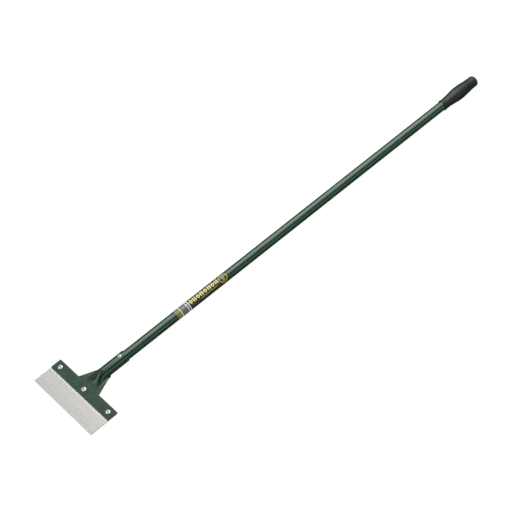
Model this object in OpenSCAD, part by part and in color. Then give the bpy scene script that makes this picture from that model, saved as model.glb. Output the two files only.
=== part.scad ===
// Long-handled blade scraper: a steel tube with a hand grip, a pressed steel head
// riveted to its other end, and a wide blade riveted behind the head's cross bar.
// The origin is the middle of the cutting edge. +Y runs up the tube to the grip,
// +Z points out of the front face, and X runs along the cutting edge.

/* [Blade] */
// Width of the blade and of the cross bar
blade_w = 225; // [205:1:240]
// Bare blade between the cross bar and the cutting edge
blade_reach = 53; // [40:1:70]
// Height of blade hidden behind the cross bar
blade_tuck = 27; // [22:1:29]
// Thickness of the blade
blade_t = 1.6; // [1.2:0.1:2]
// Width of the ground bevel along the cutting edge
bevel_l = 4; // [2:0.5:8]
// Thickness left at the cutting edge
edge_t = 0.6; // [0.4:0.1:0.9]

/* [Head] */
// Height of the cross bar
bar_h = 30.5; // [28:0.5:34]
// Corner radius of the cross bar
bar_corner_r = 1.5; // [0.5:0.5:4]
// Thickness of the pressed sheet
sheet_t = 2.2; // [1.8:0.1:2.4]
// Distance from the cross bar to the mouth of the socket
neck_l = 117.5; // [105:0.5:130]
// Length of the full round socket
socket_l = 45; // [40:1:50]
// Half width of the fan where it meets the cross bar
fan_half_w = 39.5; // [34:0.5:46]
// Depth of the cross bar's front face behind the tube's axis
bar_drop = 2.5; // [1:0.5:4]
// Width of the open seam along the back of the socket
seam_w = 1.6; // [1:0.1:2]

/* [Shaft] */
// Overall length of the scraper
overall_l = 1436; // [1200:1:1600]
// Outer diameter of the tube
tube_d = 25.4; // [24:0.1:26]
// Wall thickness of the tube
tube_wall = 1.2; // [1:0.1:1.5]
// Length of tube inside the socket
tube_in_socket = 42; // [38:1:44]
// Clearance between tube and socket on the radius
socket_gap = 0.1; // [0.05:0.05:0.2]

/* [Grip] */
// Length of the hand grip
grip_l = 129; // [120:1:140]
// Diameter just inside the grip's mouth
grip_mouth_d = 28.6; // [28:0.1:30]
// Growth in diameter from the mouth to the far end
grip_growth = 1.8; // [0:0.1:3]
// Extra diameter at the swell
grip_swell = 7.5; // [4:0.1:9]
// Distance of the swell's crest from the mouth
grip_crest = 62; // [55:1:70]
// Length of the rounded end
grip_dome_l = 10; // [9:1:16]
// Thickness of the grip's closed end
grip_end_t = 6; // [4:1:9]

/* [Rivets] */
// Distance of the outer blade rivets from the middle one
rivet_pitch = 94; // [85:1:98]
// Distance of the socket rivet from the socket's mouth
socket_rivet_in = 16; // [12:1:20]

/* [Label] */
// Distance of the label from the socket's mouth
label_start = 161; // [100:1:300]
// Length of the label along the tube
label_l = 171; // [120:1:200]
// Thickness of the label's film
label_t = 0.15; // [0.1:0.05:0.3]

/* [Hidden] */
$fn = 96;

// Levels, from the blade's back face up to the tube's axis
blade_back_z = -edge_t / 2;
bar_back_z = blade_back_z + blade_t;
bar_front_z = bar_back_z + sheet_t;
bar_mid_z = bar_back_z + sheet_t / 2;
axis_z = bar_front_z + bar_drop;

// Stations along the tool, from the cutting edge
bar_bottom_y = blade_reach;
bar_top_y = bar_bottom_y + bar_h;
bar_mid_y = bar_bottom_y + bar_h / 2;
blade_top_y = bar_bottom_y + blade_tuck;
mouth_y = bar_top_y + neck_l;
socket_end_y = mouth_y - socket_l;
tube_start_y = mouth_y - tube_in_socket;
grip_y = overall_l - grip_l;
tube_end_y = overall_l - grip_end_t;

// Socket and tube
tube_r = tube_d / 2;
socket_in_r = tube_r + socket_gap;
socket_out_r = socket_in_r + sheet_t;
roll_r = socket_in_r + sheet_t / 2;
cut = 1; // how far a cutting solid runs past the face that it cuts

// Blind rivets: [head radius, head height, shank radius, tail radius, tail height,
//                mandrel radius, mandrel head radius, mandrel head height]
blade_rivet_size = [6.35, 2.7, 3.2, 4.6, 2.6, 1.9, 2.9, 1.2];
socket_rivet_size = [4.75, 2.0, 2.4, 3.5, 2.2, 1.4, 2.2, 1.0];
hole_gap = 0.05;    // rivet to hole, on the radius
stub_sunk = 0.8;    // depth of the broken mandrel below the head's crown
rim_share = 0.25;   // share of the head's height taken by its upright rim
rim_under = 0.3;    // chamfer under the head's rim
tail_nose = 0.7;    // radius of the tail's blunt end, as a share of the tail's radius
tail_side = 0.6;    // height of the tail's straight side, as a share of the tail's height
knob_side = 0.4;    // height of the mandrel head's straight side, as a share of its height
knob_nose = 0.6;    // radius of the mandrel head's blunt end, as a share of its radius
socket_rivet_y = mouth_y - socket_rivet_in;
// The socket rivet's tail stops against the tube's curved inner wall
tube_in_r = tube_r - tube_wall;
socket_tail_z = axis_z + sqrt(pow(tube_in_r, 2) - pow(socket_rivet_size[3], 2)) - 0.05;
socket_grip_l = axis_z + socket_out_r - socket_tail_z;

// ---- Neck of the head: the rolled socket opens at the back and flattens into the fan ----
// Distances below are measured from the socket's mouth towards the blade.
crest_end = 72;        // the ridge keeps its full height up to here
nose_end = 112;        // and has sunk into the flat fan here
flank_start = 76;      // the fan's straight flanks begin here
ridge_spread = 0.25;   // growth in the ridge's half width per millimetre
fillet_r = 3.6;        // concave radius between the ridge and the fan
fan_droop = 0.5;         // backward lean of the fan's wings beside the ridge, in degrees
droop_start = 50;      // the wings begin to lean here
droop_ease = 80;       // and begin to straighten here
lip_l = 0.3;           // straight lip left at the edge of the rolled sheet
lip_growth = 2.4;      // growth of that lip while the socket opens
lip_start = 55;        // the lip begins to grow here
lip_turn = 2;          // turn of the lip at the closed socket, in degrees
ridge_share = 0.79;    // share of the ridge's side that curves outwards
share_drop = 0.29;     // loss of that share by the end of the nose
ring_half_angle = 175; // half the angle that the closed socket wraps
crest_h = roll_r - (bar_mid_z - axis_z);
ridge_half_w = roll_r + fillet_r;
flank_half_w = 21.5;   // half width of the neck where the straight flanks begin
joint_in = 1;          // length of neck set into the middle of the socket's wall
joint_out = 0.3;       // length in which the neck then regains the full sheet thickness
joint_t = sheet_t - 0.5;
neck_steps = 26;
ridge_steps = 16;
fillet_steps = 5;
wing_steps = 2;

function ease(x, from, to) = let (k = min(max((x - from) / (to - from), 0), 1)) k * k * (3 - 2 * k);

// Half width of the fan's outline
function fan_w(q) = flank_half_w
    + (q - flank_start) * (fan_half_w - flank_half_w) / (neck_l - flank_start);

// Lean of the wings
function lean(q) =
    fan_droop * ease(q, droop_start, crest_end) * (1 - ease(q, droop_ease, neck_l));

// Height and half width of the sinking ridge
function ridge_h(q) =
    max(crest_h * (1 + cos(180 * min((q - crest_end) / (nose_end - crest_end), 1))) / 2, 0.02);
function ridge_w(q) = ridge_half_w + (q - crest_end) * ridge_spread;

// Opening socket: [ridge radius, fillet radius, turn down, turn back, wing length]
function open_bends(q) =
    let (turn = ring_half_angle - (ring_half_angle - 90) * ease(q, socket_l, crest_end),
         back = lip_turn + (90 - lip_turn - lean(q)) * ease(q, socket_l + 1, crest_end))
    [roll_r, fillet_r, turn, back, lip_l + lip_growth * ease(q, lip_start, crest_end)];

// Sinking ridge: the same five values, from the ridge's height and width
function sunk_bends(q) =
    let (turn = 2 * atan(ridge_h(q) / ridge_w(q)),
         both = ridge_w(q) / sin(turn),
         share = ridge_share - share_drop * ease(q, crest_end, nose_end),
         back = turn - min(lean(q), turn * 0.9),
         reach = share * both * sin(turn) + (1 - share) * both * (sin(turn) - sin(turn - back)))
    [share * both, (1 - share) * both, turn, back,
        max((fan_w(q) - reach) / cos(turn - back), lip_l)];

function bends(q) = q <= crest_end ? open_bends(q) : sunk_bends(q);

// Right half of the sheet's middle line as [x, z, heading], from the crest outwards
function half_line(b) =
    let (ridge = [for (i = [0 : ridge_steps]) let (h = b[2] * i / ridge_steps)
             [b[0] * sin(h), b[0] * (cos(h) - 1), h]],
         r = ridge[ridge_steps],
         fillet = [for (i = [1 : fillet_steps]) let (h = b[2] - b[3] * i / fillet_steps)
             [r[0] + b[1] * (sin(b[2]) - sin(h)), r[1] - b[1] * (cos(h) - cos(b[2])), h]],
         f = fillet[fillet_steps - 1],
         wing = [for (i = [1 : wing_steps]) let (s = b[4] * i / wing_steps)
             [f[0] + s * cos(f[2]), f[1] - s * sin(f[2]), f[2]]])
    concat(ridge, fillet, wing);

// Height of the crest: constant at first, then such that the fan stays on the bar's level
function crest_z(q, line) =
    q <= crest_end ? axis_z + roll_r : bar_mid_z - line[ridge_steps + fillet_steps][1];

// Closed outline of the sheet at one station: front side left to right, back side right to left
function side(line, top, y, s) =
    let (n = len(line) - 1)
    [for (i = [-n : n]) let (p = line[abs(i)])
        [(i < 0 ? -1 : 1) * (p[0] + s * sin(p[2])), y, top + p[1] + s * cos(p[2])]];
function reversed(list) = [for (i = [len(list) - 1 : -1 : 0]) list[i]];
function station(q, t) =
    let (line = half_line(bends(q)), top = crest_z(q, line), y = mouth_y - q)
    concat(side(line, top, y, t / 2), reversed(side(line, top, y, -t / 2)));

module neck_shell() {
    start = socket_l + joint_out;
    stations = concat([station(socket_l - joint_in, joint_t), station(socket_l, joint_t)],
        [for (k = [0 : neck_steps]) station(start + (neck_l - start) * k / neck_steps, sheet_t)]);
    ring = len(stations[0]);
    strip = ring / 2 - 1;
    bays = len(stations) - 1;
    last = bays * ring;
    walls = [for (k = [0 : bays - 1], i = [0 : ring - 1])
        let (a = k * ring + i, b = k * ring + (i + 1) % ring)
        each [[a, b, b + ring], [a, b + ring, a + ring]]];
    start_cap = [for (i = [0 : strip - 1]) each
        [[i, ring - 1 - i, i + 1], [i + 1, ring - 1 - i, ring - 2 - i]]];
    end_cap = [for (i = [0 : strip - 1]) each
        [[last + i, last + i + 1, last + ring - 1 - i],
         [last + i + 1, last + ring - 2 - i, last + ring - 1 - i]]];
    polyhedron(points = [for (s = stations) each s], faces = concat(walls, start_cap, end_cap));
}

// Cylinder along +Y from one station to another, on the tube's axis
module along_tube(r, from, to) {
    translate([0, from, axis_z]) rotate([-90, 0, 0]) cylinder(r = r, h = to - from);
}

// Upright hole through everything between two levels
module drill(r, x, y, low, high) {
    translate([x, y, low]) cylinder(r = r, h = high - low);
}

module blade_holes() {
    for (x = [-rivet_pitch, 0, rivet_pitch])
        drill(blade_rivet_size[2] + hole_gap, x, bar_mid_y, blade_back_z - cut, bar_front_z + cut);
}

module socket_hole() {
    drill(socket_rivet_size[2] + hole_gap, 0, socket_rivet_y, axis_z, axis_z + socket_out_r + cut);
}

module shaft_tube() {
    color([0.22, 0.33, 0.27])
    difference() {
        along_tube(tube_r, tube_start_y, tube_end_y);
        along_tube(tube_in_r, tube_start_y - cut, tube_end_y + cut);
        socket_hole();
    }
}

module socket() {
    difference() {
        along_tube(socket_out_r, socket_end_y, mouth_y);
        along_tube(socket_in_r, socket_end_y - cut, mouth_y + cut);
        translate([-seam_w / 2, socket_end_y - cut, axis_z - socket_out_r - cut])
            cube([seam_w, socket_l + 2 * cut, sheet_t + 2 * cut]);
        socket_hole();
    }
}

module cross_bar() {
    half_w = blade_w / 2 - bar_corner_r;
    difference() {
        translate([0, 0, bar_back_z])
        linear_extrude(sheet_t) {
            translate([-half_w, bar_bottom_y]) square([2 * half_w, bar_h]);
            translate([-blade_w / 2, bar_bottom_y + bar_corner_r])
                square([blade_w, bar_h - 2 * bar_corner_r]);
            for (x = [-half_w, half_w], y = [bar_bottom_y + bar_corner_r, bar_top_y - bar_corner_r])
                translate([x, y]) circle(bar_corner_r);
        }
        blade_holes();
    }
}

module head_pressing() {
    color([0.22, 0.33, 0.27]) {
        neck_shell();
        cross_bar();
        socket();
    }
}

module blade() {
    color([0.78, 0.78, 0.76])
    difference() {
        translate([-blade_w / 2, 0, 0]) rotate([90, 0, 90])
            linear_extrude(blade_w)
            polygon([[0, blade_back_z], [blade_top_y, blade_back_z], [blade_top_y, bar_back_z],
                [bevel_l, bar_back_z], [0, blade_back_z + edge_t]]);
        blade_holes();
    }
}

// Blind rivet body, seated at z = 0 with its shank pointing down
module rivet_body(size, grip) {
    dome_steps = 8;
    bore_r = size[5] + hole_gap;
    rim_h = size[1] * rim_share;
    dome = [for (i = [0 : dome_steps]) let (a = 90 * i / dome_steps)
        [max(size[0] * cos(a), bore_r), rim_h + (size[1] - rim_h) * sin(a)]];
    color([0.86, 0.86, 0.85])
    rotate_extrude()
        polygon(concat(
            [[bore_r, -grip - size[4]], [size[3] * tail_nose, -grip - size[4]],
             [size[3], -grip - size[4] * tail_side], [size[3], -grip], [size[2], -grip],
             [size[2], 0], [size[0] - rim_under, 0]],
            dome));
}

// Mandrel left inside a set blind rivet, in the rivet's own frame
module rivet_mandrel(size, grip) {
    tail = -grip - size[4];
    color([0.42, 0.39, 0.35])
    rotate_extrude()
        polygon([[0, size[1] - stub_sunk], [size[5], size[1] - stub_sunk], [size[5], tail],
            [size[6], tail], [size[6], tail - size[7] * knob_side],
            [size[6] * knob_nose, tail - size[7]], [0, tail - size[7]]]);
}

module at_blade_rivet(k) {
    translate([k * rivet_pitch, bar_mid_y, bar_front_z]) children();
}

module blade_rivet(k) {
    at_blade_rivet(k) rivet_body(blade_rivet_size, sheet_t + blade_t);
}

module blade_mandrel(k) {
    at_blade_rivet(k) rivet_mandrel(blade_rivet_size, sheet_t + blade_t);
}

module socket_rivet() {
    translate([0, socket_rivet_y, axis_z + socket_out_r])
        rivet_body(socket_rivet_size, socket_grip_l);
}

module socket_mandrel() {
    translate([0, socket_rivet_y, axis_z + socket_out_r])
        rivet_mandrel(socket_rivet_size, socket_grip_l);
}

// Radius of the hand grip at a distance from its mouth: a tapering body, a thin rolled lip
// at the mouth and a swell for the palm
swell_before = 50;    // reach of the swell towards the mouth
swell_after = 55;     // and towards the closed end
lip_rise = 0.85;       // rise of the rolled lip
lip_at = 3.5;         // its distance from the mouth
lip_spread = 3;       // and its width
dome_power = 2.4;     // fullness of the closed end's rounding, 2 for a plain ellipse
function swell_reach(s) = s < grip_crest ? swell_before : swell_after;
function grip_lip(s) = lip_rise * exp(-pow((s - lip_at) / lip_spread, 2));
function grip_swell_r(s) = abs(s - grip_crest) < swell_reach(s)
    ? grip_swell / 2 * pow(cos(90 * (s - grip_crest) / swell_reach(s)), 2) : 0;
function grip_body_r(s) =
    grip_mouth_d / 2 + grip_growth / 2 * s / grip_l + grip_lip(s) + grip_swell_r(s);
function dome_factor(s) = let (k = max((s - (grip_l - grip_dome_l)) / grip_dome_l, 0))
    sqrt(max(1 - pow(k, dome_power), 0));

module hand_grip() {
    bore_l = tube_end_y - grip_y;
    body_steps = 48;
    dome_steps = 10;
    body = [for (i = [0 : body_steps]) let (s = (grip_l - grip_dome_l) * i / body_steps)
        [grip_body_r(s), s]];
    dome = [for (i = [1 : dome_steps]) let (s = grip_l - grip_dome_l * (1 - sin(90 * i / dome_steps)))
        [i == dome_steps ? 0 : grip_body_r(s) * dome_factor(s), s]];
    color([0.16, 0.16, 0.16])
    translate([0, grip_y, axis_z]) rotate([-90, 0, 0])
    rotate_extrude()
        polygon(concat([[0, bore_l], [tube_r, bore_l], [tube_r, 0]], body, dome));
}

module shaft_label() {
    color([0.72, 0.68, 0.42])
    difference() {
        along_tube(tube_r + label_t, mouth_y + label_start, mouth_y + label_start + label_l);
        along_tube(tube_r, mouth_y + label_start - cut, mouth_y + label_start + label_l + cut);
    }
}

shaft_tube();
head_pressing();
blade();
blade_rivet(-1);  // blade_rivet_left
blade_rivet(0);  // blade_rivet_centre
blade_rivet(1);  // blade_rivet_right
blade_mandrel(-1);  // blade_mandrel_left
blade_mandrel(0);  // blade_mandrel_centre
blade_mandrel(1);  // blade_mandrel_right
socket_rivet();
socket_mandrel();
hand_grip();
shaft_label();
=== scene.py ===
"""Long-handled blade scraper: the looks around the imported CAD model.

Lengths are in millimetres in the row frame until a mesh is made. The studio is in metres.
Origin: middle of the cutting edge. +Y runs up the tube to the grip, +Z out of the front face.
"""

import math
import random
from collections import namedtuple

import bmesh
import bpy
from mathutils import Matrix, Vector


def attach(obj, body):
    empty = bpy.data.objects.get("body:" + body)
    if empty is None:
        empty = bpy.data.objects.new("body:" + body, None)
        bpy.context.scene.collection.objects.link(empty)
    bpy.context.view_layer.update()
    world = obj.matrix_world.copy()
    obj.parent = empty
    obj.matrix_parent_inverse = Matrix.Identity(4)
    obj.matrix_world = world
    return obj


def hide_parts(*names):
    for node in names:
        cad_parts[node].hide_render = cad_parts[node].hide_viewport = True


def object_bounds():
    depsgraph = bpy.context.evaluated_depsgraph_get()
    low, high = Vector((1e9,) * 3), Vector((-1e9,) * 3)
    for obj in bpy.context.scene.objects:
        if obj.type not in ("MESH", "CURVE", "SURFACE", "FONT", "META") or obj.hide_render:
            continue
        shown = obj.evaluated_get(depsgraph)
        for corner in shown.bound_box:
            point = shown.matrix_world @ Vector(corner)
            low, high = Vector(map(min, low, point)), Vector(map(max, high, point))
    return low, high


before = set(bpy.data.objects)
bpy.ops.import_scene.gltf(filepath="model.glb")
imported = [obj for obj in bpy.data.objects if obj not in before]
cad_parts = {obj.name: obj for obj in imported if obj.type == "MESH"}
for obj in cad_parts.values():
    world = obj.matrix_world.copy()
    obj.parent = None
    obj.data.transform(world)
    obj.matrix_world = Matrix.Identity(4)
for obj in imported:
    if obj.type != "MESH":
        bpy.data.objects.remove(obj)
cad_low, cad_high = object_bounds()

MM = 0.001
ROOT = "root"

# ---- Sizes shared with the CAD part ----
# Blade, behind the head's cross bar
BLADE_W = 225.0
BLADE_REACH = 53.0
BLADE_TUCK = 27.0
BLADE_T = 1.6
BEVEL_L = 4.0
EDGE_T = 0.6
# Head
BAR_H = 30.5
BAR_CORNER_R = 1.5
BAR_DROP = 2.5
SHEET_T = 2.2
NECK_L = 117.5
SOCKET_L = 45.0
SOCKET_GAP = 0.1
FAN_HALF_W = 39.5
# Shaft
OVERALL_L = 1436.0
TUBE_R = 12.7
TUBE_WALL = 1.2
TUBE_IN_SOCKET = 42.0
# Grip
GRIP_L = 129.0
GRIP_MOUTH_R = 14.3
GRIP_GROWTH = 1.8
GRIP_SWELL = 7.5
GRIP_CREST = 62.0
GRIP_DOME_L = 10.0
GRIP_END_T = 6.0
# Rivets
RIVET_PITCH = 94.0
SOCKET_RIVET_IN = 16.0
# Label
LABEL_START = 161.0
LABEL_L = 171.0
LABEL_T = 0.15

# Levels, from the blade's back face up to the tube's axis
BLADE_BACK_Z = -EDGE_T / 2
BAR_BACK_Z = BLADE_BACK_Z + BLADE_T
BAR_FRONT_Z = BAR_BACK_Z + SHEET_T
BAR_MID_Z = BAR_BACK_Z + SHEET_T / 2
AXIS_Z = BAR_FRONT_Z + BAR_DROP
# Stations along the tool, from the cutting edge
BAR_TOP_Y = BLADE_REACH + BAR_H
BAR_MID_Y = BLADE_REACH + BAR_H / 2
BLADE_TOP_Y = BLADE_REACH + BLADE_TUCK
MOUTH_Y = BAR_TOP_Y + NECK_L
TUBE_START_Y = MOUTH_Y - TUBE_IN_SOCKET
GRIP_Y = OVERALL_L - GRIP_L
TUBE_END_Y = OVERALL_L - GRIP_END_T
LABEL_Y = MOUTH_Y + LABEL_START
# Radii about the tube's axis
TUBE_IN_R = TUBE_R - TUBE_WALL
SOCKET_IN_R = TUBE_R + SOCKET_GAP
SOCKET_OUT_R = SOCKET_IN_R + SHEET_T
ROLL_R = SOCKET_IN_R + SHEET_T / 2

TURN_SIDES = 128  # sides of the long turned pieces


# ---- Meshes ----
def new_piece(name, verts, faces, material, nodes=(), smooth=True):
    """A mesh object from points in millimetres. It rides on the part's one body."""
    mesh = bpy.data.meshes.new(name)
    mesh.from_pydata([Vector(v) * MM for v in verts], [], faces)
    bm = bmesh.new()
    bm.from_mesh(mesh)
    bmesh.ops.recalc_face_normals(bm, faces=bm.faces)
    bm.to_mesh(mesh)
    bm.free()
    piece = bpy.data.objects.new(name, mesh)
    bpy.context.scene.collection.objects.link(piece)
    mesh.materials.append(material)
    if smooth:
        mesh.shade_smooth()
    else:
        mesh.shade_flat()
    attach(piece, ROOT)
    if nodes:
        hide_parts(*nodes)
    return piece


def settle(piece):
    """Applies the piece's modifiers to its mesh."""
    graph = bpy.context.evaluated_depsgraph_get()
    mesh = bpy.data.meshes.new_from_object(
        piece.evaluated_get(graph), preserve_all_data_layers=True, depsgraph=graph
    )
    piece.modifiers.clear()
    piece.data = mesh


def thicken(piece, thickness):
    """Gives a middle surface that thickness, half on either side."""
    shell = piece.modifiers.new("sheet", "SOLIDIFY")
    shell.thickness = thickness * MM
    shell.offset = 0.0
    shell.use_even_offset = True
    shell.use_quality_normals = True
    settle(piece)


def soften(piece, width, angle=50.0, segments=3):
    """Rounds the sharp edges by a width in millimetres, and keeps the flats flat in their shading."""
    bevel = piece.modifiers.new("soften", "BEVEL")
    bevel.width = width * MM
    bevel.segments = segments
    bevel.limit_method = "ANGLE"
    bevel.angle_limit = math.radians(angle)
    bevel.use_clamp_overlap = True
    normals = piece.modifiers.new("flats", "WEIGHTED_NORMAL")
    normals.keep_sharp = True
    settle(piece)


def steps(start, end, count):
    """Evenly spaced values after the start, up to and with the end."""
    return [start + (end - start) * i / count for i in range(1, count + 1)]


def rounded(points, radii, arc_steps=4):
    """The closed outline with each corner turned into an arc of its radius, or left sharp at 0."""
    n = len(points)
    out = []
    for i, (point, radius) in enumerate(zip(points, radii)):
        if radius == 0:
            out.append(point)
            continue
        p = Vector(point)
        a = Vector(points[i - 1]) - p
        b = Vector(points[(i + 1) % n]) - p
        half = a.angle(b) / 2
        reach = radius / math.tan(half)
        centre = p + (a.normalized() + b.normalized()).normalized() * (radius / math.sin(half))
        start = p + a.normalized() * reach - centre
        sweep = start.angle_signed(p + b.normalized() * reach - centre)
        for k in range(arc_steps + 1):
            out.append(tuple(centre + Matrix.Rotation(-sweep * k / arc_steps, 2) @ start))
    return out


def lathe(profile, place, sides, closed=False):
    """Points and faces of a profile of (radius, height) turned about an axis."""
    verts, faces, rings = [], [], []
    turns = [2 * math.pi * i / sides for i in range(sides)]
    for r, h in profile:
        if r == 0:
            rings.append([len(verts)] * sides)
            verts.append(place(0.0, 0.0, h))
        else:
            rings.append(range(len(verts), len(verts) + sides))
            verts += [place(r * math.cos(t), r * math.sin(t), h) for t in turns]
    pairs = list(zip(rings, rings[1:]))
    if closed:
        pairs.append((rings[-1], rings[0]))
    for a, b in pairs:
        for i in range(sides):
            j = (i + 1) % sides
            face = list(dict.fromkeys((a[i], a[j], b[j], b[i])))
            if len(face) > 2:
                faces.append(face)
    return verts, faces


def grid_faces(grid):
    """Faces of a grid, given as rows of point numbers."""
    faces = []
    for above, below in zip(grid, grid[1:]):
        for i in range(len(above) - 1):
            faces.append((above[i], above[i + 1], below[i + 1], below[i]))
    return faces


def along_tube(x, z, y):
    """A turned shape's place on the tube's axis."""
    return (x, y, AXIS_Z + z)


def upright(cx, cy, cz):
    """A turned shape's place on an upright axis through that point."""
    return lambda x, y, z: (cx + x, cy + y, cz + z)


# ---- Materials ----
class Nodes:
    """A material's node tree, with short calls for the nodes that the finishes share."""

    def __init__(self, name):
        self.material = bpy.data.materials.new(name)
        self.material.use_nodes = True
        self.tree = self.material.node_tree
        self.shader = self.tree.nodes["Principled BSDF"]
        self.where = self.add("ShaderNodeTexCoord").outputs["Object"]

    def add(self, kind, links=(), **settings):
        """A new node, with values or links for its inputs and with its own settings."""
        node = self.tree.nodes.new(kind)
        for key, value in settings.items():
            setattr(node, key, value)
        for socket, value in dict(links).items():
            self.join(value, node.inputs[socket])
        return node

    def join(self, value, socket):
        """Links another node's output to the socket, or sets the socket to a value."""
        if isinstance(value, bpy.types.NodeSocket):
            self.tree.links.new(value, socket)
        else:
            socket.default_value = value

    def set(self, **values):
        """Values or links for the shader, by socket name with _ for a space."""
        for key, value in values.items():
            self.join(value, self.shader.inputs[key.replace("_", " ")])

    def stretched(self, per_mm):
        """The place in the part, scaled so that one unit is 1 / per_mm millimetres along each axis."""
        scale = [s / MM for s in per_mm]
        links = {"Vector": self.where, "Scale": scale}
        return self.add("ShaderNodeMapping", links).outputs["Vector"]

    def noise(self, per_mm, detail=3.0, rough=0.5, warp=0.0):
        """Noise of that many cells per millimetre: one number, or one for each axis."""
        per_mm = per_mm if hasattr(per_mm, "__len__") else [per_mm] * 3
        links = {
            "Vector": self.stretched(per_mm),
            "Scale": 1.0,
            "Detail": detail,
            "Roughness": rough,
            "Distortion": warp,
        }
        return self.add("ShaderNodeTexNoise", links).outputs["Fac"]

    def ramp(self, fac, low, high, a=0.0, b=1.0):
        """fac from low..high mapped to a..b, held at both ends."""
        links = {"Value": fac, "From Min": low, "From Max": high, "To Min": a, "To Max": b}
        return self.add("ShaderNodeMapRange", links).outputs["Result"]

    def mix(self, fac, a, b):
        """Colour a turned into colour b by fac. Inputs 6 and 7 and output 2 are the colour sockets."""
        node = self.add("ShaderNodeMix", data_type="RGBA")
        self.join(fac, node.inputs[0])
        for colour, socket in ((a, node.inputs[6]), (b, node.inputs[7])):
            self.join(colour if isinstance(colour, bpy.types.NodeSocket) else (*colour, 1), socket)
        return node.outputs[2]

    def math(self, operation, a, b):
        """One step of arithmetic on two values."""
        node = self.add("ShaderNodeMath", operation=operation)
        self.join(a, node.inputs[0])
        self.join(b, node.inputs[1])
        return node.outputs[0]

    def along(self, axis):
        """The place in the part along one axis, in millimetres."""
        split = self.add("ShaderNodeSeparateXYZ", {"Vector": self.stretched((1, 1, 1))})
        return split.outputs[axis]

    def bump(self, height, depth_mm, after=None):
        """Bump of that depth, on top of an earlier one."""
        links = {"Height": height, "Distance": depth_mm * MM, "Strength": 1.0}
        if after is not None:
            links["Normal"] = after
        return self.add("ShaderNodeBump", links).outputs["Normal"]


def paint(name, rough):
    """Gloss dark green powder coat: orange peel, a little mottling, paler where edges are worn."""
    dark, light = (0.0105, 0.036, 0.0175), (0.015, 0.05, 0.025)
    worn_through = [c * 3.2 + 0.01 for c in light]
    n = Nodes(name)
    mottle = n.noise(0.035, detail=4)
    patches = n.noise(0.9, detail=2)
    peel = n.noise(0.42, detail=1.5)
    grain = n.noise(2.6, detail=2)
    gloss = n.noise(0.06, detail=5, rough=0.6)
    edge = n.add("ShaderNodeNewGeometry").outputs["Pointiness"]
    worn = n.math("MULTIPLY", n.ramp(edge, 0.53, 0.62), n.ramp(patches, 0.45, 0.62, 0, 0.35))
    colour = n.mix(n.ramp(mottle, 0.35, 0.65), dark, light)
    n.set(
        Base_Color=n.mix(worn, colour, worn_through),
        Roughness=n.ramp(gloss, 0.3, 0.7, *rough),
        Normal=n.bump(grain, 0.0012, n.bump(peel, 0.008)),
        Metallic=0.0,
        IOR=1.5,
        Coat_Weight=0.25,
        Coat_Roughness=0.06,
        Specular_Tint=(0.83, 1.0, 0.91, 1),
    )
    return n.material


def steel(name):
    """Matt rolled strip: lines along the blade, faint clouds and specks, and a ground bevel.

    Painted light: it turns brighter from the cutting edge towards the cross bar, and a painted highlight
    runs along the joint under the bar.
    """
    # painted light: the blade's grey at the cutting edge (shaded) and at the cross bar (lit)
    shaded_edge_grey, lit_bar_grey = (0.445, 0.439, 0.418), (0.46, 0.456, 0.44)
    cloud_grey, streak_grey, speck_brown = (0.46, 0.445, 0.41), (0.76, 0.76, 0.75), (0.38, 0.35, 0.3)
    # the second grey on the next line is a painted highlight along the joint under the bar
    ground_grey, painted_highlight_grey = (0.62, 0.62, 0.61), (0.7, 0.7, 0.69)
    n = Nodes(name)
    lines = n.noise((0.012, 3.2, 3.2), detail=3, rough=0.65)
    streaks = n.noise((0.006, 0.35, 0.35), detail=4)
    clouds = n.noise(0.028, detail=5, rough=0.55, warp=0.4)
    specks = n.noise(0.75, detail=2, rough=0.6)
    grinding = n.noise((2.6, 0.05, 0.05), detail=2)
    y = n.along("Y")
    bevel = n.math("LESS_THAN", y, BEVEL_L)
    # painted shading: darker at the cutting edge, lighter towards the bar, as the light falls
    colour = n.mix(n.ramp(y, 0.0, BLADE_REACH), shaded_edge_grey, lit_bar_grey)
    colour = n.mix(n.ramp(clouds, 0.35, 0.68, 0, 0.16), colour, cloud_grey)
    colour = n.mix(n.ramp(streaks, 0.4, 0.7, 0, 0.1), colour, streak_grey)
    colour = n.mix(n.ramp(specks, 0.68, 0.78, 0, 0.08), colour, speck_brown)
    colour = n.mix(n.math("MULTIPLY", bevel, 0.85), colour, ground_grey)
    # painted highlight: a lighter strip along the joint just under the cross bar
    colour = n.mix(n.ramp(y, BLADE_REACH - 5.5, BLADE_REACH - 2, 0, 0.6), colour, painted_highlight_grey)
    smoother = n.math("MULTIPLY", bevel, -0.1)
    ground = n.math("MULTIPLY", grinding, bevel)
    n.set(
        Base_Color=colour,
        Metallic=0.82,
        Roughness=n.math("ADD", n.ramp(lines, 0.3, 0.7, 0.40, 0.52), smoother),
        Normal=n.bump(ground, 0.003, n.bump(lines, 0.002)),
        IOR=1.6,
    )
    return n.material


def formed_metal(name, colour, dull, rough, metallic, dents):
    """Formed aluminium or steel: dull patches, scratches across and small dents."""
    n = Nodes(name)
    patches = n.noise(0.5, detail=4)
    scratches = n.noise((1.1, 5.5, 5.5), detail=3, rough=0.7)
    n.set(
        Base_Color=n.mix(n.ramp(patches, 0.4, 0.72, 0, 0.5), colour, dull),
        Metallic=metallic,
        Roughness=n.ramp(scratches, 0.3, 0.7, *rough),
        Normal=n.bump(n.noise(1.6, detail=3), dents),
    )
    return n.material


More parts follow.
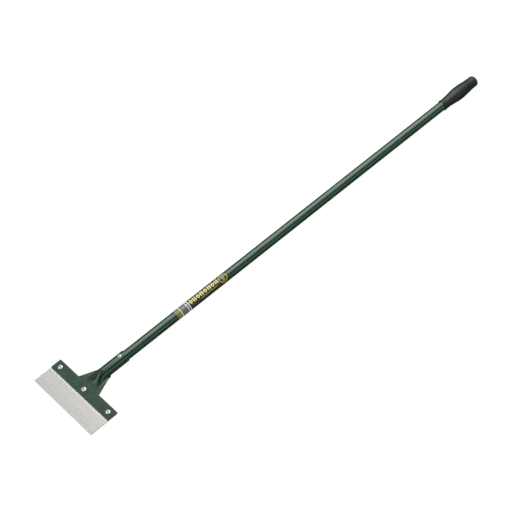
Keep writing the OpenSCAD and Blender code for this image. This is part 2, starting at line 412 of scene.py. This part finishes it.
def rubber(name):
    """Moulded black rubber: fine matt grain, faint bloom and a few rubs."""
    black, bloomed, rubbed = (0.009, 0.0125, 0.0085), (0.019, 0.025, 0.018), (0.04, 0.043, 0.037)
    n = Nodes(name)
    bloom = n.noise(0.05, detail=5, rough=0.6, warp=0.3)
    grain = n.noise(2.4, detail=2.5, rough=0.6)
    rubs = n.noise((0.7, 0.05, 0.7), detail=3)
    waves = n.noise(0.3, detail=2)
    colour = n.mix(n.ramp(bloom, 0.38, 0.7), black, bloomed)
    n.set(
        Base_Color=n.mix(n.ramp(rubs, 0.6, 0.75, 0, 0.3), colour, rubbed),
        Roughness=n.ramp(grain, 0.3, 0.7, 0.36, 0.5),
        Normal=n.bump(waves, 0.02, n.bump(grain, 0.014)),
        IOR=1.5,
        Specular_IOR_Level=0.42,
        Specular_Tint=(0.88, 1.0, 0.87, 1),
    )
    return n.material


def ink(name, colour, other, rough, metallic=0.0):
    """The label's film, or printed ink or foil on it: uneven coverage and fine grain."""
    n = Nodes(name)
    cover = n.noise(0.8, detail=4, rough=0.65)
    n.set(
        Base_Color=n.mix(n.ramp(cover, 0.35, 0.7), colour, other),
        Metallic=metallic,
        Roughness=n.ramp(n.noise(0.3, detail=3), 0.3, 0.7, rough, rough + 0.12),
        Normal=n.bump(n.noise(0.35, detail=2), 0.006),
    )
    return n.material


shaft_paint = paint("shaft_paint", rough=(0.12, 0.18))
head_paint = paint("head_paint", rough=(0.14, 0.2))
blade_steel = steel("blade_steel")
rivet_bright = formed_metal(
    "rivet_bright",
    colour=(0.74, 0.74, 0.73),
    dull=(0.62, 0.61, 0.59),
    rough=(0.42, 0.55),
    metallic=0.7,
    dents=0.003,
)
# Dark steel for the mandrels, kept near-black partly as painted shade so the stub sunk in each rivet's bore
# reads dark
mandrel_steel = formed_metal(
    "mandrel_steel",
    colour=(0.13, 0.115, 0.1),
    dull=(0.06, 0.05, 0.04),
    rough=(0.4, 0.6),
    metallic=1.0,
    dents=0.02,
)
grip_rubber = rubber("grip_rubber")
film_dark = ink("film_dark", (0.026, 0.028, 0.007), (0.038, 0.04, 0.012), rough=0.22)
foil_gold = ink("foil_gold", (0.42, 0.39, 0.1), (0.31, 0.28, 0.06), rough=0.35, metallic=0.15)
foil_pale = ink("foil_pale", (0.78, 0.72, 0.27), (0.7, 0.63, 0.2), rough=0.35, metallic=0.1)
ink_white = ink("ink_white", (0.9, 0.9, 0.9), (0.82, 0.82, 0.83), rough=0.3)
ink_grey = ink("ink_grey", (0.13, 0.14, 0.135), (0.23, 0.24, 0.23), rough=0.3, metallic=0.2)


# ---- Head: one sheet, rolled into a socket, opening into a ridge and a flat fan ----
# Distances along the neck are measured from the socket's mouth towards the blade, as in the CAD part
CREST_END = 72.0  # the ridge keeps its full height up to here
NOSE_END = 112.0  # and has sunk into the flat fan here
FLANK_START = 76.0  # the fan's straight flanks begin here
FLANK_HALF_W = 21.5  # half width of the neck where they begin
RIDGE_SPREAD = 0.25  # growth in the ridge's half width per millimetre
FILLET_R = 3.6  # concave radius between the ridge and the fan
FAN_DROOP = 0.5  # backward lean of the fan's wings beside the ridge, in degrees
DROOP_START = 50.0  # the wings begin to lean here
DROOP_EASE = 80.0  # and begin to straighten here
LIP_L = 0.3  # straight lip left at the edge of the rolled sheet
LIP_GROWTH = 2.4  # growth of that lip while the socket opens
LIP_START = 55.0  # the lip begins to grow here
LIP_TURN = 2.0  # turn of the lip at the closed socket, in degrees
RIDGE_SHARE = 0.79  # share of the ridge's side that curves outwards
SHARE_DROP = 0.29  # loss of that share by the end of the nose
RING_HALF_ANGLE = 175.0  # half the angle that the closed socket wraps
CREST_H = ROLL_R - (BAR_MID_Z - AXIS_Z)
RIDGE_HALF_W = ROLL_R + FILLET_R
MIN_RISE = 0.02  # the ridge's last trace, where it has sunk into the fan
LEAN_LIMIT = 0.9  # the wings' largest lean, as a share of the ridge's turn
# Points across one half of the sheet, and rows of points along it
RIDGE_STEPS = 30
FILLET_STEPS = 8
WING_STEPS = 8
SOCKET_ROWS = 12
NECK_ROWS = 72
# Points of the cross bar
ARM_COLUMNS = 30
BAR_ROWS = 14
CORNER_STEPS = 4
# The sections are evened out in passes, from just above the socket's end to just before the bar
EVEN_PASSES = 3
EVEN_START = SOCKET_L - 4
ROWS_LEFT_ALONE = 3
HEAD_EDGE = 0.8  # rounding of the sheet's edges


def ease(x, start, end):
    """A smooth rise from 0 at the start to 1 at the end."""
    k = min(max((x - start) / (end - start), 0.0), 1.0)
    return k * k * (3 - 2 * k)


def lean(q):
    """Backward lean of the fan's wings at a station, in degrees."""
    return FAN_DROOP * ease(q, DROOP_START, CREST_END) * (1 - ease(q, DROOP_EASE, NECK_L))


def fan_w(q):
    """Half width of the neck at a station along the straight flanks."""
    return FLANK_HALF_W + (q - FLANK_START) * (FAN_HALF_W - FLANK_HALF_W) / (NECK_L - FLANK_START)


def bends(q):
    """Ridge radius, fillet radius, turn down, turn back (degrees) and wing length at a station."""
    if q <= CREST_END:
        turn = RING_HALF_ANGLE - (RING_HALF_ANGLE - 90) * ease(q, SOCKET_L, CREST_END)
        back = LIP_TURN + (90 - LIP_TURN - lean(q)) * ease(q, SOCKET_L + 1, CREST_END)
        return ROLL_R, FILLET_R, turn, back, LIP_L + LIP_GROWTH * ease(q, LIP_START, CREST_END)
    sunk = min((q - CREST_END) / (NOSE_END - CREST_END), 1)
    h = max(CREST_H * (1 + math.cos(math.pi * sunk)) / 2, MIN_RISE)
    w = RIDGE_HALF_W + (q - CREST_END) * RIDGE_SPREAD
    turn = math.degrees(2 * math.atan(h / w))
    both = w / math.sin(math.radians(turn))
    share = RIDGE_SHARE - SHARE_DROP * ease(q, CREST_END, NOSE_END)
    back = turn - min(lean(q), turn * LEAN_LIMIT)
    left = math.radians(turn - back)
    reach = share * both * math.sin(math.radians(turn))
    reach += (1 - share) * both * (math.sin(math.radians(turn)) - math.sin(left))
    wing = max((fan_w(q) - reach) / math.cos(left), LIP_L)
    return share * both, (1 - share) * both, turn, back, wing


def half_line(q):
    """Right half of the sheet's middle line at a station, as (x, z) from the crest outwards."""
    r1, r2, turn, back, wing = bends(q)
    turn, back = math.radians(turn), math.radians(back)
    line = []
    for i in range(RIDGE_STEPS + 1):
        a = turn * i / RIDGE_STEPS
        line.append((r1 * math.sin(a), r1 * (math.cos(a) - 1)))
    x, z = line[-1]
    for i in range(1, FILLET_STEPS + 1):
        a = turn - back * i / FILLET_STEPS
        line.append((x + r2 * (math.sin(turn) - math.sin(a)), z - r2 * (math.cos(a) - math.cos(turn))))
    x, z = line[-1]
    for s in steps(0, wing, WING_STEPS):
        line.append((x + s * math.cos(turn - back), z - s * math.sin(turn - back)))
    top = AXIS_Z + ROLL_R if q <= CREST_END else BAR_MID_Z - z
    return [(x, top + z) for x, z in line]


def evened(rows, lines):
    """The half lines after one pass that evens out the changes of section, for clean reflections."""
    out = []
    for k, line in enumerate(lines):
        if rows[k] <= EVEN_START or k >= len(rows) - ROWS_LEFT_ALONE:
            out.append(line)
            continue
        near = zip(lines[k - 1], line, lines[k + 1])
        out.append([((a[0] + 2 * p[0] + b[0]) / 4, (a[1] + 2 * p[1] + b[1]) / 4) for a, p, b in near])
    return out


def neck_stations():
    """Rows of points across the sheet, from the socket's mouth down to the cross bar's top edge."""
    rows = [0.0] + steps(0, SOCKET_L, SOCKET_ROWS) + steps(SOCKET_L, NECK_L, NECK_ROWS)
    lines = [half_line(q) for q in rows]
    for _ in range(EVEN_PASSES):
        lines = evened(rows, lines)
    stations = []
    for q, line in zip(rows, lines):
        mirrored = [(-x, z) for x, z in reversed(line[1:])]
        stations.append([(x, MOUTH_Y - q, z) for x, z in mirrored + line])
    return stations


def bar_point(x, y):
    """A point of the bar's straight grid, moved where a square corner wraps into the corner's arc."""
    half_w, half_h = BLADE_W / 2 - BAR_CORNER_R, BAR_H / 2 - BAR_CORNER_R
    a = (abs(x) - half_w) / BAR_CORNER_R
    b = (abs(y - BAR_MID_Y) - half_h) / BAR_CORNER_R
    if a > 0 and b > 0:
        turn = math.pi / 4 * b / a if a >= b else math.pi / 2 - math.pi / 4 * a / b
        r = BAR_CORNER_R * max(a, b)
        x = math.copysign(half_w + r * math.cos(turn), x)
        y = BAR_MID_Y + math.copysign(half_h + r * math.sin(turn), y - BAR_MID_Y)
    return (x, y, BAR_MID_Z)


def head_surface():
    """The sheet's middle surface as one grid in the shape of a T."""
    stations = neck_stations()
    verts = [p for station in stations for p in station]
    ring = len(stations[0])
    neck = [range(k * ring, (k + 1) * ring) for k in range(len(stations))]
    # The bar carries the last station's columns on down, with more columns on both sides
    r = BAR_CORNER_R
    arm = steps(FAN_HALF_W, BLADE_W / 2 - r, ARM_COLUMNS) + steps(BLADE_W / 2 - r, BLADE_W / 2, CORNER_STEPS)
    columns = [-x for x in reversed(arm)] + [p[0] for p in stations[-1]] + arm
    levels = [BAR_TOP_Y] + steps(BAR_TOP_Y, BAR_TOP_Y - r, CORNER_STEPS)
    levels += steps(BAR_TOP_Y - r, BLADE_REACH + r, BAR_ROWS)
    levels += steps(BLADE_REACH + r, BLADE_REACH, CORNER_STEPS)
    bar = []
    for level in levels:
        row = []
        for i, x in enumerate(columns):
            if not bar and 0 <= i - len(arm) < ring:
                row.append(neck[-1][i - len(arm)])  # the neck's last row is part of the bar's first
            else:
                row.append(len(verts))
                verts.append(bar_point(x, level))
        bar.append(row)
    return verts, grid_faces(neck) + grid_faces(bar)


def add_head():
    verts, faces = head_surface()
    head = new_piece("head_sheet", verts, faces, head_paint, ["head_pressing"])
    thicken(head, SHEET_T)
    soften(head, HEAD_EDGE)


# ---- Shaft ----
TUBE_EDGE_R = 0.3
RING_IN = 1.0  # an extra ring this far in from each end keeps the long outer wall's shading even


def add_shaft():
    """The tube, with the edges of its ends rounded."""
    outline = [
        (TUBE_R, TUBE_START_Y),
        (TUBE_R, TUBE_START_Y + RING_IN),
        (TUBE_R, TUBE_END_Y - RING_IN),
        (TUBE_R, TUBE_END_Y),
        (TUBE_IN_R, TUBE_END_Y),
        (TUBE_IN_R, TUBE_START_Y),
    ]
    radii = [TUBE_EDGE_R, 0, 0, TUBE_EDGE_R, TUBE_EDGE_R, TUBE_EDGE_R]
    profile = rounded(outline, radii)
    verts, faces = lathe(profile, along_tube, TURN_SIDES, closed=True)
    new_piece("shaft", verts, faces, shaft_paint, ["shaft_tube"])


# ---- Blade ----
BLADE_EDGE = 0.12  # rounding of the strip's edges


def add_blade():
    """A flat strip with a bevel ground into its front along the cutting edge."""
    outline = [
        (0, BLADE_BACK_Z),
        (BLADE_TOP_Y, BLADE_BACK_Z),
        (BLADE_TOP_Y, BAR_BACK_Z),
        (BEVEL_L, BAR_BACK_Z),
        (0, BLADE_BACK_Z + EDGE_T),
    ]
    n = len(outline)
    verts = [(x, y, z) for x in (-BLADE_W / 2, BLADE_W / 2) for y, z in outline]
    faces = [tuple(range(n)), tuple(reversed(range(n, 2 * n)))]
    faces += [(i, (i + 1) % n, (i + 1) % n + n, i + n) for i in range(n)]
    blade = new_piece("blade_strip", verts, faces, blade_steel, ["blade"], smooth=False)
    soften(blade, BLADE_EDGE, angle=30, segments=2)


# ---- Blind rivets ----
Rivet = namedtuple("Rivet", "head_r head_h shank_r tail_r tail_h stem_r knob_r knob_h")
BLADE_RIVET = Rivet(6.35, 2.7, 3.2, 4.6, 2.6, 1.9, 2.9, 1.2)
SOCKET_RIVET = Rivet(4.75, 2.0, 2.4, 3.5, 2.2, 1.4, 2.2, 1.0)
HOLE_GAP = 0.05  # stem to bore, on the radius
RIM_SHARE = 0.25  # share of the head's height below its dome
CROWN_SHARE = 0.985  # height of the lip around the bore, as a share of the head's height
CROWN_LIP = 0.35  # width of that lip
STUB_SUNK = 0.75  # depth of the broken stem below the head's crown
TEAR = 0.16  # height of the tears in the broken end
TEAR_MIDDLE = 0.3  # share of that height left at its middle point
TEAR_DEPTH = 0.2  # the tears stop this far below the broken end's mean level
TAIL_GAP = 0.05  # socket rivet's tail to the tube's inner wall
RIVET_SIDES = 72
RIVET_DOME_STEPS = 14
STEM_SIDES = 40
BLADE_SEED = 5  # seeds of the broken ends, with one for each blade rivet
SOCKET_SEED = 11
# Crushed tail and stem's knob: shares of their radius, and of their height away from the sheet
TAIL_SHAPE = ((0.62, 1.0), (0.86, 0.9), (0.98, 0.65), (1.0, 0.35), (0.95, 0.08), (0.9, 0.0))
KNOB_SHAPE = ((0.96, 0.0), (1.0, 0.2), (0.95, 0.55), (0.7, 0.9), (0.4, 1.0), (0.0, 1.0))
# Broken end: shares of the stem's radius, and millimetres above its mean level
STUB_SHAPE = ((0.0, -0.15), (0.35, -0.05), (0.6, 0.08), (0.82, 0.0), (1.0, -0.3))


def rivet_profile(size, grip):
    """Closed profile of a set blind rivet: crushed tail, shank, domed head and a bore."""
    bore = size.stem_r + HOLE_GAP
    crown = size.head_h * CROWN_SHARE
    tail = [(size.tail_r * a, -grip - size.tail_h * b) for a, b in TAIL_SHAPE]
    shank = [(size.shank_r, -grip), (size.shank_r, 0)]
    rim = [(size.head_r - 0.35, 0), (size.head_r - 0.08, 0.1)]
    dome = []
    for a in [0.0] + steps(0, math.pi / 2, RIVET_DOME_STEPS):
        r = size.head_r * math.cos(a)
        if r > bore + CROWN_LIP:
            dome.append((r, size.head_h * (RIM_SHARE + (1 - RIM_SHARE) * math.sin(a))))
    lip = [(bore + 0.22, crown), (bore + 0.05, crown - 0.14), (bore, crown - 0.4)]
    return [(bore, -grip - size.tail_h)] + tail + shank + rim + dome + lip


def mandrel_mesh(size, grip, place, seed):
    """The broken mandrel: a torn upper end in the bore and a rounded knob below the tail."""
    draw = random.Random(seed)
    top = size.head_h - STUB_SUNK
    bottom = -grip - size.tail_h
    profile = [(size.stem_r * a, top + b) for a, b in STUB_SHAPE]
    profile += [(size.stem_r, bottom)]
    profile += [(size.knob_r * a, bottom - size.knob_h * b) for a, b in KNOB_SHAPE]

    def torn(x, y, z):
        rough = TEAR if z > top - TEAR_DEPTH else 0.0
        share = 1 if math.hypot(x, y) else TEAR_MIDDLE
        return place(x, y, z + draw.uniform(-rough, rough) * share)

    return lathe(profile, torn, STEM_SIDES)


def add_rivet(side, name, mandrel_name, centre, size, grip, seed):
    """A rivet and its broken mandrel, with the head's underside at the centre."""
    place = upright(*centre)
    verts, faces = lathe(rivet_profile(size, grip), place, RIVET_SIDES, closed=True)
    new_piece(f"rivet_{side}", verts, faces, rivet_bright, [name])
    verts, faces = mandrel_mesh(size, grip, place, seed)
    new_piece(f"mandrel_{side}", verts, faces, mandrel_steel, [mandrel_name])


def add_blade_rivets():
    for k, side in ((-1, "left"), (0, "centre"), (1, "right")):
        centre = (k * RIVET_PITCH, BAR_MID_Y, BAR_FRONT_Z)
        names = f"blade_rivet_{side}", f"blade_mandrel_{side}"
        add_rivet(side, *names, centre, BLADE_RIVET, SHEET_T + BLADE_T, BLADE_SEED + k)


def add_socket_rivet():
    """Its tail stops against the tube's curved inner wall."""
    head_z = AXIS_Z + SOCKET_OUT_R
    tail_z = AXIS_Z + math.sqrt(TUBE_IN_R**2 - SOCKET_RIVET.tail_r**2) - TAIL_GAP
    centre = (0, MOUTH_Y - SOCKET_RIVET_IN, head_z)
    names = "socket_rivet", "socket_mandrel"
    add_rivet("socket", *names, centre, SOCKET_RIVET, head_z - tail_z, SOCKET_SEED)


# ---- Hand grip ----
SWELL_BEFORE = 50.0  # reach of the swell from its crest towards the mouth
SWELL_AFTER = 55.0  # and towards the closed end
MOUTH_LIP_H = 0.85  # rise, place and spread of the thicker rim near the mouth
MOUTH_LIP_AT = 3.5
MOUTH_LIP_SPREAD = 3.0
WALL_START = 1.2  # the wall's first ring, past the mouth's rounded edge
WALL_ROWS = 110
DOME_ROWS = 24
DOME_POWER = 2.4  # squareness of the rounded end: 2 is an ellipse


def grip_r(s):
    """The grip's radius at a distance from its mouth, before the rounded end is taken off."""
    reach = SWELL_BEFORE if s < GRIP_CREST else SWELL_AFTER
    swell = 0.0
    if abs(s - GRIP_CREST) < reach:
        swell = GRIP_SWELL / 2 * math.cos(math.pi / 2 * (s - GRIP_CREST) / reach) ** 2
    lip = MOUTH_LIP_H * math.exp(-(((s - MOUTH_LIP_AT) / MOUTH_LIP_SPREAD) ** 2))
    return GRIP_MOUTH_R + GRIP_GROWTH / 2 * s / GRIP_L + lip + swell


def grip_profile():
    """From the middle of the bore's end, around the mouth, to the middle of the closed end."""
    bore_end, dome_start = GRIP_L - GRIP_END_T, GRIP_L - GRIP_DOME_L
    profile = [(0.0, bore_end), (TUBE_R, bore_end)]
    # The mouth's inner edge, its end face and its outer edge
    profile += [(TUBE_R, 0.5), (TUBE_R + 0.3, 0.05), (GRIP_MOUTH_R - 0.15, 0.0), (grip_r(0.6), 0.55)]
    profile += [(grip_r(s), s) for s in [WALL_START] + steps(WALL_START, dome_start, WALL_ROWS)]
    for i in range(1, DOME_ROWS):
        k = math.sin(math.pi / 2 * i / DOME_ROWS)
        s = dome_start + GRIP_DOME_L * k
        profile.append((grip_r(s) * math.sqrt(1 - k**DOME_POWER), s))
    return profile + [(0.0, GRIP_L)]


def add_grip():
    verts, faces = lathe([(r, GRIP_Y + s) for r, s in grip_profile()], along_tube, TURN_SIDES)
    new_piece("grip", verts, faces, grip_rubber, ["hand_grip"])


# ---- Label: a dark film with a generic ornament in gold, white and grey ----
# On the film, s is millimetres around the tube from its front towards +X, and y is the distance from
# the film's end at the head.
FILM_R = TUBE_R + LABEL_T
FILM_GAP = 0.005  # tube to film
PRINT_RISE = 0.03  # film to print
AROUND = 2 * math.pi * FILM_R
CUT_SHIFT = 0.013  # keeps the cuts through the print off its points
MIDDLE = 2.4  # where the ornament's middle lies
# End band of small lozenges
BAND_ROWS = (2.2, 5.4, 8.6, 11.8)
BAND_COUNT = 18
BAND_SHIFT = 0.3
BAND_HALF_S = 1.9
BAND_HALF_Y = 1.75
# Rings and grey panel: where each starts and ends
WHITE_RINGS = ((14.3, 16.4), (35.0, 36.9), (40.9, 43.1))
GREY_RING = (38.0, 39.2)
GREY_BARS = 5
GREY_START = 17.6
GREY_PITCH = 3.5
GREY_BAR_W = 2.9
# Ornament of open lozenges and pairs of bars, and the line beside it
MARK_COUNT = 8
MARK_START = 50.5
MARK_PITCH = 12.0
OPEN_OUT = 7.4
OPEN_IN = 3.4
OPEN_SQUASH = 0.7
PAIR_HALF_S = 6.2
PAIR_HALF_Y = 1.5
PAIR_OFF = 2.9
LINE_SPAN_S = (MIDDLE + 9.2, MIDDLE + 10.6)
LINE_SPAN_Y = (78.0, 133.0)
# End disc: a gold ring around a small grey disc and a gold lozenge
DISC_S = MIDDLE + 2.6
DISC_Y = 155.0
DISC_OUT = 13.2
DISC_IN = 10.4
DISC_SIDES = 44
GREY_DISC_S = DISC_S - 3.5
GREY_DISC_OUT = 6.2
GREY_DISC_IN = 0.01  # a hole too small to see
GREY_DISC_SIDES = 28
DISC_LOZENGE_S = DISC_S + 5.2
DISC_LOZENGE_HALF = (3.2, 5.0)


def add_film():
    verts, faces = lathe(
        [
            (TUBE_R + FILM_GAP, LABEL_Y),
            (FILM_R, LABEL_Y),
            (FILM_R, LABEL_Y + LABEL_L),
            (TUBE_R + FILM_GAP, LABEL_Y + LABEL_L),
        ],
        along_tube,
        TURN_SIDES,
        closed=True,
    )
    film = new_piece("label_film", verts, faces, film_dark, ["shaft_label"])
    points = film.data.vertices
    for edge in film.data.edges:  # the edges around the tube are sharp
        a, b = (points[i].co.y for i in edge.vertices)
        edge.use_edge_sharp = abs(a - b) < 1e-7


def wrapped(s, y):
    """A point of the print, on the film."""
    turn = s / FILM_R
    r = FILM_R + PRINT_RISE
    return (r * math.sin(turn), LABEL_Y + y, AXIS_Z + r * math.cos(turn))


def print_marks(name, marks, material):
    """Flat outlines of (s, y) points, cut into strips 1 mm wide and wrapped onto the film."""
    bm = bmesh.new()
    for mark in marks:
        bm.faces.new([bm.verts.new((s, y, 0)) for s, y in mark])
    low = min(v.co.x for v in bm.verts)
    high = max(v.co.x for v in bm.verts)
    for k in range(math.floor(low), math.ceil(high)):
        bmesh.ops.bisect_plane(
            bm,
            geom=bm.verts[:] + bm.edges[:] + bm.faces[:],
            plane_co=(k + CUT_SHIFT, 0, 0),
            plane_no=(1, 0, 0),
        )
    verts = [wrapped(v.co.x, v.co.y) for v in bm.verts]
    bm.verts.index_update()
    faces = [[v.index for v in f.verts] for f in bm.faces]
    bm.free()
    new_piece(name, verts, faces, material)


def box_mark(s0, s1, y0, y1):
    """A rectangle from s0 to s1 around the film and from y0 to y1 along it."""
    return [(s0, y0), (s1, y0), (s1, y1), (s0, y1)]


def lozenge(s, y, half_s, half_y):
    """A filled lozenge about a point."""
    return [(s - half_s, y), (s, y - half_y), (s + half_s, y), (s, y + half_y)]


def ring_mark(s, y, outer, inner, sides, squash=1.0):
    """A polygonal ring as quads: 4 sides give an open lozenge, many give a circle."""
    marks = []
    for k in range(sides):
        a, b = 2 * math.pi * k / sides, 2 * math.pi * (k + 1) / sides
        corners = ((inner, a), (inner, b), (outer, b), (outer, a))
        marks.append([(s + r * math.sin(t), y + r * math.cos(t) * squash) for r, t in corners])
    return marks


def end_band():
    """Rows of small lozenges around the film, each row half a step on."""
    marks = []
    for row, y in enumerate(BAND_ROWS):
        for k in range(BAND_COUNT):
            s = AROUND * (k + 0.5 * (row % 2)) / BAND_COUNT - AROUND / 2 + BAND_SHIFT
            marks.append(lozenge(s, y, BAND_HALF_S, BAND_HALF_Y))
    return marks


def full_rings(spans):
    """Bands all around the film, each from one distance to another."""
    return [box_mark(-AROUND / 2, AROUND / 2, y0, y1) for y0, y1 in spans]


def grey_panel():
    """A grey panel with a dark ruling, and a thin ring after it."""
    starts = [GREY_START + GREY_PITCH * k for k in range(GREY_BARS)]
    return full_rings([(y, y + GREY_BAR_W) for y in starts] + [GREY_RING])


def ornament():
    """Open lozenges and pairs of bars in turn."""
    marks = []
    for k in range(MARK_COUNT):
        y = MARK_START + MARK_PITCH * k
        if k % 2 == 0:
            marks += ring_mark(MIDDLE, y, OPEN_OUT, OPEN_IN, 4, squash=OPEN_SQUASH)
            continue
        for bar_y in (y - PAIR_OFF, y + PAIR_OFF):
            span_y = bar_y - PAIR_HALF_Y, bar_y + PAIR_HALF_Y
            marks.append(box_mark(MIDDLE - PAIR_HALF_S, MIDDLE + PAIR_HALF_S, *span_y))
    return marks


def add_label():
    """The film, and one piece of print in each ink."""
    add_film()
    side_line = box_mark(*LINE_SPAN_S, *LINE_SPAN_Y)
    disc_ring = ring_mark(DISC_S, DISC_Y, DISC_OUT, DISC_IN, DISC_SIDES)
    disc_lozenge = lozenge(DISC_LOZENGE_S, DISC_Y, *DISC_LOZENGE_HALF)
    grey_disc = ring_mark(GREY_DISC_S, DISC_Y, GREY_DISC_OUT, GREY_DISC_IN, GREY_DISC_SIDES)
    print_marks("label_gold", end_band() + [side_line] + disc_ring + [disc_lozenge], foil_gold)
    print_marks("label_pale", ornament(), foil_pale)
    print_marks("label_white", full_rings(WHITE_RINGS), ink_white)
    print_marks("label_grey", grey_panel() + grey_disc, ink_grey)


add_head()
add_shaft()
add_blade()
add_blade_rivets()
add_socket_rivet()
add_grip()
add_label()

# ---- Studio, in metres ----
scene = bpy.context.scene
scene.view_settings.view_transform = "Standard"
scene.view_settings.look = "None"
FLOOR_GAP = 0.0005
FLOOR_Z = cad_low.z - FLOOR_GAP
STAGE_R = 14.0
STAGE_SIDES = 64
WALL_TOP_Z = 9.0
ROOF_TOP_Z = 12.0
FLOOR_GLOW = 0.985
BACKDROP_GLOW = 1.0
WORLD_GLOW = 0.05
HANG_Z = 2.0  # height of the overhead soft boxes


def stage_piece(name, verts, faces, emission, grey):
    """A plain matt stage piece that glows white."""
    mesh = bpy.data.meshes.new(name)
    mesh.from_pydata(verts, [], faces)
    piece = bpy.data.objects.new(name, mesh)
    scene.collection.objects.link(piece)
    n = Nodes(name)
    n.set(
        Base_Color=(grey, grey, grey, 1),
        Roughness=0.9,
        Specular_IOR_Level=0.0,
        Emission_Color=(1, 1, 1, 1),
        Emission_Strength=emission,
    )
    mesh.materials.append(n.material)
    return piece


def circle(z):
    """Points of the stage's edge at a height."""
    turns = [2 * math.pi * i / STAGE_SIDES for i in range(STAGE_SIDES)]
    return [(STAGE_R * math.cos(t), STAGE_R * math.sin(t), z) for t in turns]


def add_floor():
    """A round floor that glows, so that the tool lies on plain white without a shadow."""
    floor = stage_piece("floor", circle(FLOOR_Z), [tuple(range(STAGE_SIDES))], FLOOR_GLOW, 0.05)
    floor.visible_glossy = False


def add_backdrop():
    """A round wall and roof that only the camera sees."""
    n = STAGE_SIDES
    verts = circle(FLOOR_Z) + circle(WALL_TOP_Z) + [(0, 0, ROOF_TOP_Z)]
    wall = [(i, (i + 1) % n, n + (i + 1) % n, n + i) for i in range(n)]
    roof = [(n + i, n + (i + 1) % n, 2 * n) for i in range(n)]
    backdrop = stage_piece("backdrop", verts, wall + roof, BACKDROP_GLOW, 0.8)
    for flag in ("visible_diffuse", "visible_glossy", "visible_shadow", "visible_transmission"):
        setattr(backdrop, flag, False)


def add_world():
    world = bpy.data.worlds.new("studio")
    scene.world = world
    world.use_nodes = True
    background = world.node_tree.nodes["Background"]
    background.inputs["Color"].default_value = (1, 1, 1, 1)
    background.inputs["Strength"].default_value = WORLD_GLOW


def panel(name, centre, aim, size, radiance, glossy=True):
    """A soft box: a rectangle of light that faces a point, of that radiance."""
    light = bpy.data.lights.new(name, "AREA")
    light.shape = "RECTANGLE"
    light.size, light.size_y = size
    light.energy = radiance * math.pi * size[0] * size[1]
    lamp = bpy.data.objects.new(name, light)
    scene.collection.objects.link(lamp)
    lamp.location = centre
    lamp.rotation_euler = (Vector(aim) - Vector(centre)).to_track_quat("-Z", "Y").to_euler()
    lamp.visible_glossy = glossy


def overhead(name, x, y, size, radiance):
    """A soft box that hangs level above that place."""
    panel(name, (x, y, HANG_Z), (x, y, 0), size, radiance)


def add_lights():
    overhead("key", -0.2, 1.79, (1.8, 2.3), 3.4)
    overhead("strip", -1.65, 2.05, (1.1, 1.9), 5.2)
    overhead("strip_end", -1.65, 0.93, (1.1, 0.34), 4.4)
    overhead("sky", -1.35, 0.25, (1.5, 0.9), 0.55)
    overhead("low_sky", -1.1, -0.7, (1.5, 1.0), 1.3)
    overhead("foot", -0.85, -2.2, (1.5, 2.0), 2.0)
    panel("foot_wall", (-1.2, -3.3, 1.1), (-1.2, 0, 1.1), (2.4, 1.8), 2.0)
    panel("left", (-2.7, 0.6, 0.9), (0, 0.6, 0.9), (4.8, 1.7), 0.3)
    panel("side", (2.6, 0.6, 0.75), (0, 0.6, 0.75), (4.8, 1.5), 0.95)
    panel("fill", (0.0, 0.7, 3.0), (0, 0.7, 0), (4.0, 4.0), 0.35, glossy=False)


# ---- Camera ----
TARGET = Vector((0.0079, 0.6254, 0.006))
DISTANCE = 4.1383
AZIMUTH = math.radians(-33.336)
ELEVATION = math.radians(51.142)
ROLL = math.radians(11.218)
LENS = 115.21
SENSOR_W = 36.0
CLIP_END = 60.0


def add_camera():
    """Looks at the target from that azimuth and elevation, rolled about the line of sight."""
    level = math.cos(ELEVATION)
    outwards = Vector((level * math.cos(AZIMUTH), level * math.sin(AZIMUTH), math.sin(ELEVATION)))
    camera = bpy.data.objects.new("camera", bpy.data.cameras.new("camera"))
    scene.collection.objects.link(camera)
    camera.data.lens = LENS
    camera.data.sensor_width = SENSOR_W
    camera.data.clip_end = CLIP_END
    camera.location = TARGET + outwards * DISTANCE
    look = (-outwards).to_track_quat("-Z", "Y")
    camera.rotation_euler = (look.to_matrix() @ Matrix.Rotation(-ROLL, 3, "Z")).to_euler()
    scene.camera = camera


add_floor()
add_backdrop()
add_world()
add_lights()
add_camera()
